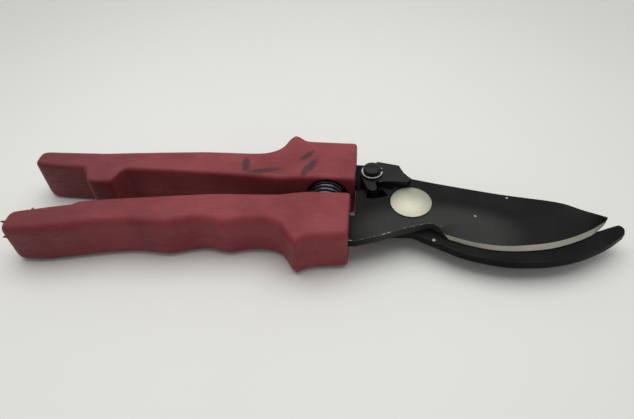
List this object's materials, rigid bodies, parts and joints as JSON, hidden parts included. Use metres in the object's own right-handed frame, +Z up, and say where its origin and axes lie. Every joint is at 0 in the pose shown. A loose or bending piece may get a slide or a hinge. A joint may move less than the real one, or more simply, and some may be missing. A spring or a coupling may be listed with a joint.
{
  "type": "pruning shears",
  "caption": "Bypass pruning shears with a curved blade and hook on a domed pivot bolt, moulded grips, a coil opening spring and a thumb latch.",
  "frame": {"origin": "centre of the bounding box's underside: the shears lie flat on their grips' lower faces at z = 0", "axes": "+X towards the cutting end, +Y towards the hook half's grip, +Z up, parallel to the pivot bolt and away from the surface"},
  "size_m": [0.2084, 0.0546, 0.0176],
  "materials": {
    "grip_plastic": "moulded brick-red plastic with a fine matt grain, slightly chalky",
    "black_steel": "stamped steel with a satin black coating, bare on rubbed edges",
    "blade_steel": "satin black coating over ground steel, with a bright ground cutting bevel",
    "bolt_nickel": "satin nickel plating",
    "zinc_steel": "bright zinc plating",
    "spring_steel": "blackened spring wire"
  },
  "bodies": {
    "hook_half": {"hook_plate": "black_steel", "hook_grip": "grip_plastic", "pivot_bolt": "bolt_nickel", "pivot_flat_washer": "zinc_steel", "pivot_lock_washer": "spring_steel", "pivot_nut": "zinc_steel", "latch_rivet": "black_steel", "latch_spacer": "black_steel", "latch_spring_washer": "zinc_steel", "coil_spring": "spring_steel"},
    "blade_half": {"blade_plate": "blade_steel", "blade_grip": "grip_plastic"},
    "latch": {"latch_lever": "black_steel"}
  },
  "joints": [
    {"name": "main_pivot", "type": "hinge", "parent": "hook_half", "child": "blade_half", "pos_m": [0.03435, -0.0025, 0.0088], "axis": [0, 0, 1], "range_deg": [-4, 32], "deforming": ["coil_spring"]},
    {"name": "latch_pivot", "type": "hinge", "parent": "hook_half", "child": "latch", "pos_m": [0.02075, 0.0092, 0.0134], "axis": [0, 0, 1], "range_deg": [0, 22]}
  ]
}
